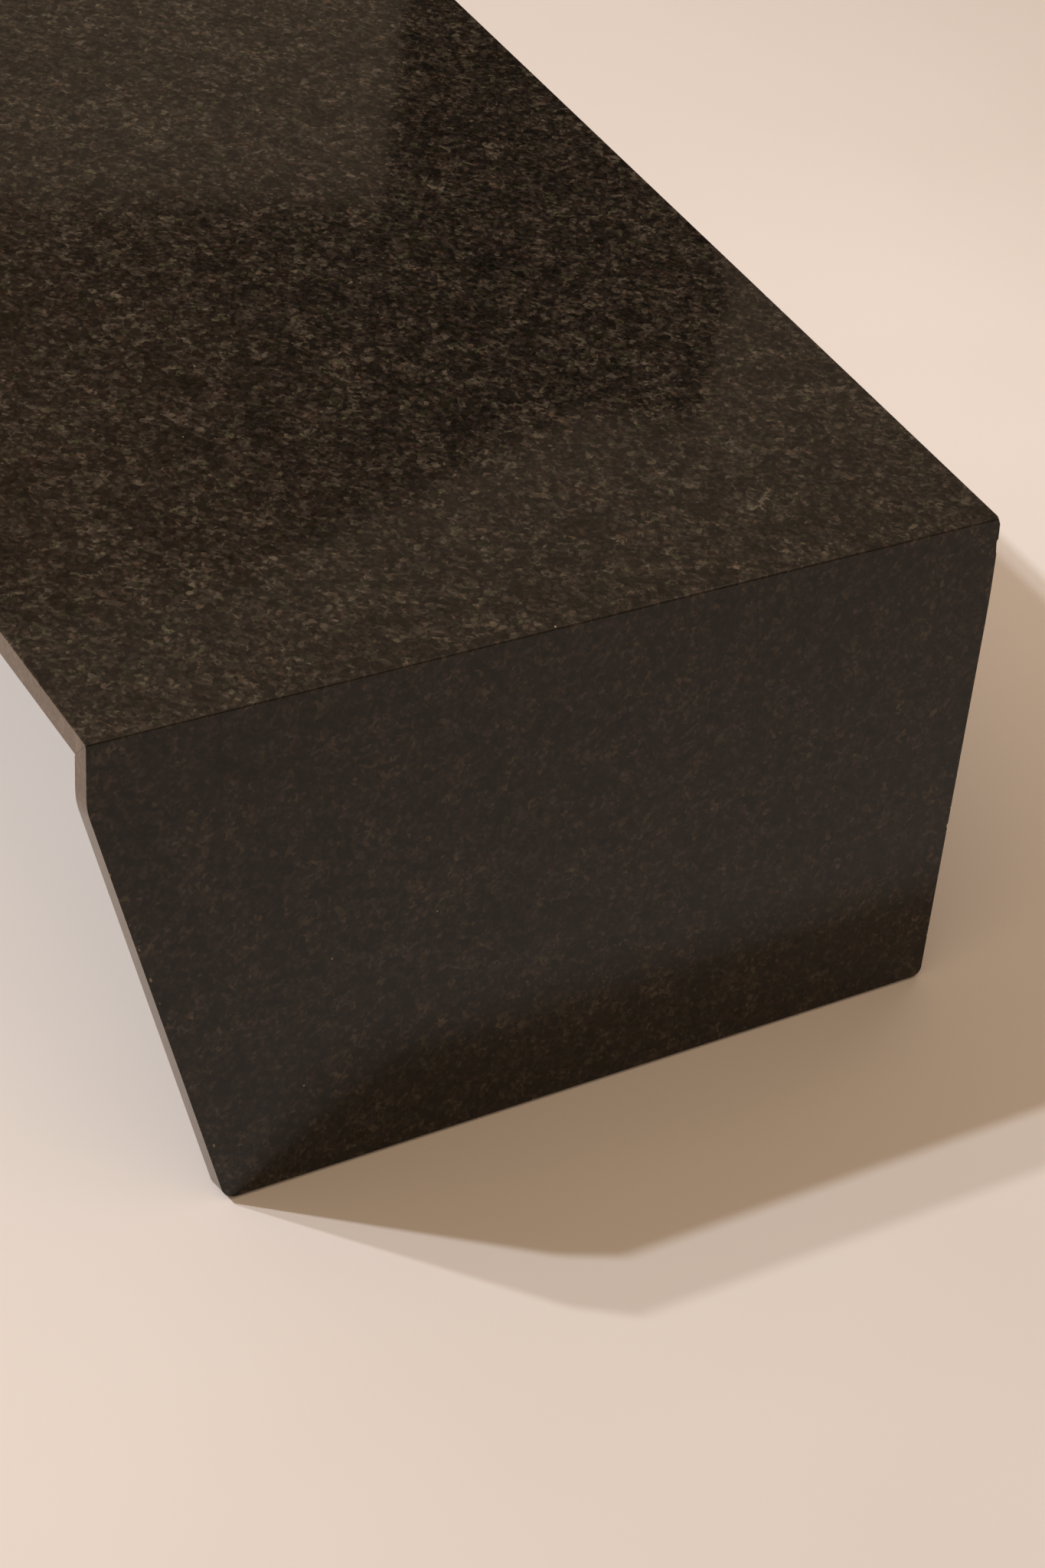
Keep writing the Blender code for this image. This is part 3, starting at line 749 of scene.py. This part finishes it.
# %% [markdown]
# ## The glue in the mitres
#
# The two stones are joined with epoxy tinted to match them. What shows is a hairline along the
# corner, a little below the surface, because the glue is scraped back before polishing. The seam is
# a thin sheet between the two cut faces, and its outer edge stays a little below the round.

# %% Build the seams
SEAM_BELOW = 0.01 * MM
SEAM_FROM_SIDE = 0.3 * MM
SEAM_GAP = 0.01 * MM       # between the glue and each stone


def seam_mesh():
    start = MITRE_ARRIS * (1 / sin(CORNER_ANGLE / 2) - 1) + SEAM_BELOW
    end = (INNER_CORNER - OUTER_CORNER).length - SEAM_BELOW
    half_seam = SEAM / 2 - SEAM_GAP
    half = WIDTH / 2 - SEAM_FROM_SIDE
    section = ((start, -half_seam), (end, -half_seam), (end, half_seam), (start, half_seam))
    outline = [OUTER_CORNER - ACROSS * half + MITRE_LINE * along + TOWARDS_TOP * offset
               for along, offset in section]
    bm = prism(outline, ACROSS * 2 * half)
    for side, radius in POINT_ROUNDS.items():
        soften_point(bm, side, radius)
    return bm


seams = {}
for end, turn in ENDS.items():
    seams[end] = new_object(f"{end}_mitre_seam", seam_mesh(), [STONE_GLUE])
    seams[end].data.transform(turn)
print("seams:", [seam.name for seam in seams.values()])

# %% [markdown]
# ## Brackets
#
# Each bracket is cut from 4 mm stainless sheet, drilled, and bent to the corner's own angle, 103
# degrees. A bent bracket has a round inside and out, its free corners are rounded so they can't
# cut a hand, and every edge is broken with a file. The profile is pushed through the bracket's
# width, its corners are bevelled, and its four holes are taken out with a Boolean.

# %% Build the brackets
FREE_CORNER, FILED_EDGE = 7 * MM, 0.5 * MM


def bracket_mesh(middle):
    bisector = (ALONG + DOWN_PANEL).normalized()
    outer = INNER_CORNER + bisector * (FIT / sin(CORNER_ANGLE / 2))
    inner = outer + bisector * (BRACKET_THICKNESS / sin(CORNER_ANGLE / 2))
    top_end, panel_end = outer + ALONG * BRACKET_LEG, outer + DOWN_PANEL * BRACKET_LEG
    outline = rounded_outline([
        (top_end, 0), (outer, BRACKET_INNER_RADIUS + BRACKET_THICKNESS), (panel_end, 0),
        (panel_end - OUT_OF_PANEL * BRACKET_THICKNESS, 0), (inner, BRACKET_INNER_RADIUS),
        (top_end - UP * BRACKET_THICKNESS, 0),
    ], steps=14)
    bm = prism([p + ACROSS * (middle - BRACKET_WIDTH / 2) for p in outline], ACROSS * BRACKET_WIDTH)

    def at_free_corner(edge):
        a, b = edge.verts[0].co, edge.verts[1].co
        short = abs((a - b).length - BRACKET_THICKNESS) < 0.1 * MM and abs((a - b).x) < 0.01 * MM
        return short and min((a - outer).length, (b - outer).length) > BRACKET_LEG * 0.8

    round_edges(bm, at_free_corner, FREE_CORNER, 6)
    round_edges(bm, lambda e: e.calc_face_angle(0) > 0.9, FILED_EDGE, 2)
    return bm


brackets = {}
for end, turn in ENDS.items():
    for side, middle in (("left", -BRACKET_SPACING / 2), ("right", BRACKET_SPACING / 2)):
        bracket = new_object(f"{end}_{side}_angle_bracket", bracket_mesh(middle), [STEEL])
        bracket.data.transform(turn)
        holes = [rod(point, outwards, SCREW_HOLE, OVERSHOOT, SEAT + OVERSHOOT)
                 for point, outwards in screw_places()]
        cut_away(bracket, [joined(f"{end}_{side}_holes", holes, STEEL, turn)])
        even_normals(bracket)
        brackets[f"{end}_{side}_bracket"] = bracket
print("brackets:", sorted(brackets))

# %% [markdown]
# ## Screws
#
# Sixteen screws hold the brackets. They have a low domed head with a six-sided socket. All are
# the same, so Geometry Nodes makes one and copies it to each place: the head is what a cylinder
# and a large ball share, the socket is a six-sided bar taken out of it, and the shank is joined
# on below. Each copy is turned by its own amount, because nobody lines screws up by hand.

# %% A tree that makes screws
def new_tree(name, inputs):
    """An empty Geometry Nodes tree with a geometry socket and named number inputs."""
    tree = bpy.data.node_groups.new(name, "GeometryNodeTree")
    tree.interface.new_socket("Geometry", in_out="INPUT", socket_type="NodeSocketGeometry")
    tree.interface.new_socket("Geometry", in_out="OUTPUT", socket_type="NodeSocketGeometry")
    for label, kind in inputs.items():
        tree.interface.new_socket(label, in_out="INPUT", socket_type=kind)
    return tree, add(tree, "NodeGroupInput"), add(tree, "NodeGroupOutput")


def run_tree(obj, tree, values):
    """Puts a tree on an object, sets its inputs by identifier, and keeps the plain mesh."""
    modifier = obj.modifiers.new(tree.name, "NODES")
    modifier.node_group = tree
    for item in tree.interface.items_tree:
        if item.item_type == "SOCKET" and item.in_out == "INPUT" and item.name in values:
            modifier[item.identifier] = values[item.name]
    return keep_result(obj)


NUMBER, COUNT, FINISH = "NodeSocketFloat", "NodeSocketInt", "NodeSocketMaterial"
DOME_RADIUS = 7.5 * MM
SHANK_IN_HEAD = 0.5 * MM   # how far the shank reaches up into the head


def raised(tree, mesh, height):
    """A mesh moved up by a height."""
    offset = add(tree, "ShaderNodeCombineXYZ", {"Z": height}).outputs[0]
    return add(tree, "GeometryNodeTransform", {"Geometry": mesh, "Translation": offset}).outputs[0]


def half_of(tree, value, sign=1):
    return add(tree, "ShaderNodeMath", {0: value, 1: 0.5 * sign}, operation="MULTIPLY").outputs[0]


def screw_tree():
    tree, given, result = new_tree("domed socket screws", {
        "Head Radius": NUMBER, "Head Height": NUMBER, "Dome Radius": NUMBER, "Shank Radius": NUMBER,
        "Shank Length": NUMBER, "Socket Radius": NUMBER, "Socket Depth": NUMBER, "Seed": COUNT,
        "Material": FINISH,
    })
    size = given.outputs
    disc = add(tree, "GeometryNodeMeshCylinder",
               {"Vertices": 40, "Radius": size["Head Radius"], "Depth": size["Head Height"]})
    disc = raised(tree, disc.outputs[0], half_of(tree, size["Head Height"]))
    ball = add(tree, "GeometryNodeMeshUVSphere",
               {"Segments": 40, "Rings": 48, "Radius": size["Dome Radius"]}).outputs[0]
    drop = add(tree, "ShaderNodeMath", {0: size["Head Height"], 1: size["Dome Radius"]}, operation="SUBTRACT")
    ball = raised(tree, ball, drop.outputs[0])
    head = add(tree, "GeometryNodeMeshBoolean", {"Mesh 2": disc}, operation="INTERSECT")
    tree.links.new(ball, head.inputs["Mesh 2"])
    shank = add(tree, "GeometryNodeMeshCylinder",
                {"Vertices": 32, "Radius": size["Shank Radius"], "Depth": size["Shank Length"]})
    shank = raised(tree, shank.outputs[0], half_of(tree, size["Shank Length"], -1))
    shank = raised(tree, shank, SHANK_IN_HEAD)
    whole = add(tree, "GeometryNodeMeshBoolean", {"Mesh 2": head.outputs[0]}, operation="UNION")
    tree.links.new(shank, whole.inputs["Mesh 2"])
    deep = add(tree, "ShaderNodeMath", {0: size["Socket Depth"], 1: 2.0}, operation="MULTIPLY").outputs[0]
    socket = add(tree, "GeometryNodeMeshCylinder",
                 {"Vertices": 6, "Radius": size["Socket Radius"], "Depth": deep})
    socket = raised(tree, socket.outputs[0], size["Head Height"])
    screw = add(tree, "GeometryNodeMeshBoolean", {"Mesh 1": whole.outputs[0], "Mesh 2": socket},
                operation="DIFFERENCE").outputs[0]
    outwards = add(tree, "GeometryNodeInputNamedAttribute", {"Name": "outwards"}, data_type="FLOAT_VECTOR")
    aim = add(tree, "FunctionNodeAlignRotationToVector", {"Vector": outwards.outputs[0]}, axis="Z")
    spin = add(tree, "FunctionNodeRandomValue", {"Min": 0.0, "Max": 2 * pi, "Seed": size["Seed"]})
    spin_value = next(s for s in spin.outputs if s.type == "VALUE" and s.enabled)
    turned = add(tree, "FunctionNodeAxisAngleToRotation", {"Axis": (0, 0, 1), "Angle": spin_value})
    facing = add(tree, "FunctionNodeRotateRotation",
                 {0: aim.outputs[0], 1: turned.outputs[0]}, rotation_space="LOCAL")
    copies = add(tree, "GeometryNodeInstanceOnPoints",
                 {"Points": size["Geometry"], "Instance": screw, "Rotation": facing.outputs[0]})
    real = add(tree, "GeometryNodeRealizeInstances", {0: copies.outputs[0]})
    coated = add(tree, "GeometryNodeSetMaterial", {"Geometry": real.outputs[0], "Material": size["Material"]})
    fill(tree, result, {0: coated.outputs[0]})
    return tree


# %% Make the screws
def points_object(name, places):
    """Loose points that remember which way they face."""
    mesh = mesh_of(name, [point for point, _ in places])
    facing = mesh.attributes.new("outwards", "FLOAT_VECTOR", "POINT")
    for item, (_, outwards) in zip(facing.data, places):
        item.vector = outwards
    return placed(name, mesh)


seats = []
for turn in ENDS.values():
    for point, outwards in screw_places():
        seats.append((turn @ (point + outwards * SEAT), turn.to_3x3() @ outwards))
screws = points_object("bracket_screws", seats)
run_tree(screws, screw_tree(), {
    "Head Radius": HEAD_RADIUS, "Head Height": HEAD_HEIGHT, "Dome Radius": DOME_RADIUS,
    "Shank Radius": SCREW_RADIUS, "Shank Length": SCREW_GRIP + SEAT + SHANK_IN_HEAD,
    "Socket Radius": SOCKET_RADIUS, "Socket Depth": SOCKET_DEPTH, "Seed": 4, "Material": ZINC,
})
settle(screws)
print("screws:", len(seats), "faces:", len(screws.data.polygons))

# %% [markdown]
# ## Resin in the grooves
#
# Under the slab, each groove is closed over its bar with poured epoxy. Poured resin isn't flat: it
# sinks a little as it sets, and swells where more was poured. A Geometry Nodes tree sweeps one
# rectangular section along each groove and lets a noise raise and lower it.

# %% A tree that pours resin
def resin_tree():
    tree, given, result = new_tree("poured resin", {
        "Width": NUMBER, "Depth": NUMBER, "Step": NUMBER, "Unevenness": NUMBER, "Wave": NUMBER,
        "Material": FINISH,
    })
    size = given.outputs
    line = add(tree, "GeometryNodeMeshToCurve", {"Mesh": size["Geometry"]}).outputs[0]
    fine = add(tree, "GeometryNodeResampleCurve", {"Curve": line, "Length": size["Step"]}, mode="LENGTH")
    section = add(tree, "GeometryNodeCurvePrimitiveQuadrilateral",
                  {"Width": size["Width"], "Height": size["Depth"]}).outputs[0]
    strip = add(tree, "GeometryNodeCurveToMesh",
                {"Curve": fine.outputs[0], "Profile Curve": section, "Fill Caps": True}).outputs[0]
    place = add(tree, "GeometryNodeInputPosition").outputs[0]
    per_wave = add(tree, "ShaderNodeMath", {0: 1.0, 1: size["Wave"]}, operation="DIVIDE").outputs[0]
    wave = add(tree, "ShaderNodeTexNoise", {"Vector": place, "Scale": per_wave, "Detail": 2.0}).outputs[0]
    centred = add(tree, "ShaderNodeMath", {0: wave, 1: 0.5}, operation="SUBTRACT").outputs[0]
    lift = add(tree, "ShaderNodeMath", {0: centred, 1: size["Unevenness"]}, operation="MULTIPLY").outputs[0]
    offset = add(tree, "ShaderNodeCombineXYZ", {"Z": lift}).outputs[0]
    uneven = add(tree, "GeometryNodeSetPosition", {"Geometry": strip, "Offset": offset}).outputs[0]
    real = add(tree, "GeometryNodeRealizeInstances", {0: uneven}).outputs[0]
    coated = add(tree, "GeometryNodeSetMaterial", {"Geometry": real, "Material": size["Material"]})
    fill(tree, result, {0: coated.outputs[0]})
    return tree


# %% Pour the three lines of resin
RESIN_STEP, RESIN_WAVE, RESIN_UNEVENNESS = 4 * MM, 35 * MM, 0.5 * MM
resin_height = HEIGHT - SLAB_THICKNESS + RESIN_DEPTH / 2
line_ends = [(x, y, resin_height) for x in BAR_PLACES for y in (-HALF_BAR, HALF_BAR)]
resin = placed("groove_resin_lines", mesh_of("resin_lines", line_ends, edges=[(0, 1), (2, 3), (4, 5)]))
run_tree(resin, resin_tree(), {
    "Width": BAR_WIDTH + 2 * FIT, "Depth": RESIN_DEPTH, "Step": RESIN_STEP,
    "Unevenness": RESIN_UNEVENNESS, "Wave": RESIN_WAVE, "Material": EPOXY,
})
settle(resin)
print("resin faces:", len(resin.data.polygons))

# %% [markdown]
# ## Pads
#
# Four strips of moulded rubber keep the stone off the floor. From the side each shows only as a
# dark line. Their corners are cut round, and their edges are soft.

# %% Build the pads
PAD_CORNER, PAD_EDGE = 0.3, 0.35 * MM    # the corner is a share of the pad's width
pads = {}
for node in (f"{end}_{side}_foot_pad" for end in ENDS for side in ("left", "right")):
    low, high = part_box(node)
    corner = (high.y - low.y) * PAD_CORNER
    outline = rounded_outline([
        (Vector((low.x, low.y, low.z)), corner), (Vector((high.x, low.y, low.z)), corner),
        (Vector((high.x, high.y, low.z)), corner), (Vector((low.x, high.y, low.z)), corner),
    ], steps=8)
    bm = prism(outline, UP * (high.z - low.z))
    round_edges(bm, lambda e: e.calc_face_angle(0) > 1.0, PAD_EDGE, 3)
    pads[node] = even_normals(settle(new_object(node.replace("foot_pad", "rubber_pad"), bm, [RUBBER])))
print("pads:", sorted(pads))

# %% [markdown]
# ## Pieces on the frame
#
# Nothing moves on this table, so every piece rides on its one body. Each new piece hides the
# engineering nodes it stands for. The bars and the inserts are shown as they were engineered,
# because they lie inside the stone, and only get their finish.

# %% Ride, replace and finish
def put_on_frame(obj, nodes):
    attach(obj, "root")
    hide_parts(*nodes)


ALL_NODES = sorted(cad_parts)
put_on_frame(top, ["top_slab"])
for end in ENDS:
    put_on_frame(panels[end], [f"{end}_end_panel"])
    put_on_frame(seams[end], [f"{end}_mitre_glue"])
for node, obj in brackets.items():
    put_on_frame(obj, [node])
for node, obj in pads.items():
    put_on_frame(obj, [node])
put_on_frame(screws, [n for n in ALL_NODES if n.endswith("_screw")])
put_on_frame(resin, [n for n in ALL_NODES if n.endswith("_groove_resin")])

for node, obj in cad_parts.items():
    for ending, material in (("_insert", BRASS), ("_reinforcing_bar", STEEL)):
        if node.endswith(ending):
            obj.data.materials.clear()
            obj.data.materials.append(material)

# %% [markdown]
# ## Floor, light and camera
#
# The table stands on a plain pale floor. Two small lamps, high up behind it on the left, give the
# double shadow that a pair of ceiling lamps gives. A third lamp, wide and weak, lifts the shadow on
# the right. A warm surrounding, bright overhead and on the left and dimmer towards the horizon,
# fills the shadows and is what the polished stone mirrors. One dark board overhead leaves a dark
# patch in that mirror image, which is how the eye knows that the stone is polished.

# %% The floor
FLOOR_PATCH = 0.625        # the size of a paler or darker patch in the paint
FLOOR_REACH = 30.0
FLOOR_DROP = 0.2 * MM      # the floor lies just under the pads, so no two faces share a plane


def painted_floor():
    material, tree, shader = start_material("pale_painted_floor")
    place = add(tree, "ShaderNodeTexCoord").outputs["Object"]
    patches = add(tree, "ShaderNodeTexNoise", {"Vector": place, "Scale": 1 / FLOOR_PATCH, "Detail": 3.0})
    tint = add(tree, "ShaderNodeValToRGB", {0: patches.outputs[0]},
               stops=[(0.3, "#e8dfda"), (0.7, "#ece4e0")])
    fill(tree, shader, {"Base Color": tint.outputs[0], "Roughness": 0.75, "Specular IOR Level": 0.2})
    return material


floor_corners = [(x * FLOOR_REACH, y * FLOOR_REACH, -FLOOR_DROP)
                 for x, y in ((-1, -1), (1, -1), (1, 1), (-1, 1))]
floor = placed("floor", mesh_of("floor", floor_corners, faces=[(0, 1, 2, 3)]))
floor.data.materials.append(painted_floor())

# %% The surrounding light
world = bpy.data.worlds.new("pale surrounding")
world.use_nodes = True
bpy.context.scene.world = world
SKY = [(0.00, "#85745f"), (0.63, "#aa957c"), (1.00, "#e1c6a8")]
LEFT_GAIN = 0.55           # how much brighter the left side is than straight ahead
sky_tree = world.node_tree
direction = add(sky_tree, "ShaderNodeTexCoord").outputs["Generated"]
parts = add(sky_tree, "ShaderNodeSeparateXYZ", {0: direction}).outputs
sky = add(sky_tree, "ShaderNodeValToRGB", {0: parts["Z"]}, stops=SKY).outputs[0]
towards_left = add(sky_tree, "ShaderNodeMath", {0: parts["X"], 1: -LEFT_GAIN, 2: 1.0},
                   operation="MULTIPLY_ADD")
fill(sky_tree, sky_tree.nodes["Background"], {"Color": sky, "Strength": towards_left.outputs[0]})

# %% The two lamps, and a wide one that lifts the shadow on the right
def lamp(name, place, target, radius, power, cone, blend, colour):
    """A round lamp behind a shade, so that only its cone reaches the floor."""
    light = bpy.data.lights.new(name, "SPOT")
    light.shadow_soft_size, light.energy = radius, power
    light.spot_size, light.spot_blend = radians(cone), blend
    light.color = linear(colour)[:3]
    obj = placed(name, light)
    obj.location = place
    obj.rotation_mode = "QUATERNION"
    obj.rotation_quaternion = (Vector(target) - Vector(place)).to_track_quat("-Z", "Y")


CEILING_LAMP = {"target": (0, -0.2, 0), "radius": 0.07, "cone": 48, "blend": 0.8, "colour": "#f7fbff"}
lamp("first_ceiling_lamp", (-4.56, 2.38, 4.97), power=980, **CEILING_LAMP)
lamp("second_ceiling_lamp", (-4.34, 3.03, 5.00), power=680, **CEILING_LAMP)
lamp("side_lamp", (1.7, 0.7, 2.6), target=(0.85, -0.05, 0), radius=0.4, power=52, cone=34,
     blend=1.0, colour="#fff6ee")

# %% The dark board overhead, seen only as a reflection
BOARD_HEIGHT = 2.6
BOARD_OUTLINE = (
    (0.7, 2.0), (1.4, 1.95), (2.3, 2.2), (2.5, 2.1), (2.85, 2.5), (3.7, 4.2), (3.0, 4.0),
    (2.3, 2.95), (0.5, 3.5),
)
BOARD_FADE = (1.2, 2.2)    # the board is palest before the first X and darkest past the second
BOARD_TINTS = [(0.0, "#a09484"), (0.3, "#81796c"), (0.7, "#4a453f"), (1.0, "#100e0c")]
board = placed("dark_board", mesh_of("dark_board", [(x, y, BOARD_HEIGHT) for x, y in BOARD_OUTLINE],
                                     faces=[tuple(range(len(BOARD_OUTLINE)))]))
board_material, board_tree, board_shader = start_material("dark_board_felt")
board_place = add(board_tree, "ShaderNodeTexCoord").outputs["Object"]
board_x = add(board_tree, "ShaderNodeSeparateXYZ", {0: board_place}).outputs["X"]
board_share = add(board_tree, "ShaderNodeMapRange",
                  {"Value": board_x, "From Min": BOARD_FADE[0], "From Max": BOARD_FADE[1]})
board_tint = add(board_tree, "ShaderNodeValToRGB", {0: board_share.outputs[0]}, stops=BOARD_TINTS)
fill(board_tree, board_shader, {"Base Color": board_tint.outputs[0], "Roughness": 1.0})
board.data.materials.append(board_material)
board.visible_camera = board.visible_diffuse = board.visible_shadow = False

# %% The camera
EYE = Vector((-1.41047, -2.24486, 2.00063))
HEADING, PITCH, ROLL = radians(40.27), radians(-39.07), radians(12.85)
LENS, SENSOR_WIDTH = 85, 36    # millimetres, as a camera maker gives them


def camera_turn(heading, pitch, roll):
    """Looks along a heading, measured from +Y towards +X, tipped by a pitch and a roll."""
    forward = Vector((sin(heading) * cos(pitch), cos(heading) * cos(pitch), sin(pitch)))
    level = Vector((cos(heading), -sin(heading), 0))
    right = level * cos(roll) + level.cross(forward) * sin(roll)
    return Matrix((right, right.cross(forward), -forward)).transposed()


camera_data = bpy.data.cameras.new("camera")
camera_data.lens = LENS
camera_data.sensor_width = SENSOR_WIDTH
camera = placed("camera", camera_data)
camera.matrix_world = Matrix.Translation(EYE) @ camera_turn(HEADING, PITCH, ROLL).to_4x4()
bpy.context.scene.camera = camera
bpy.context.scene.view_settings.view_transform = "Standard"
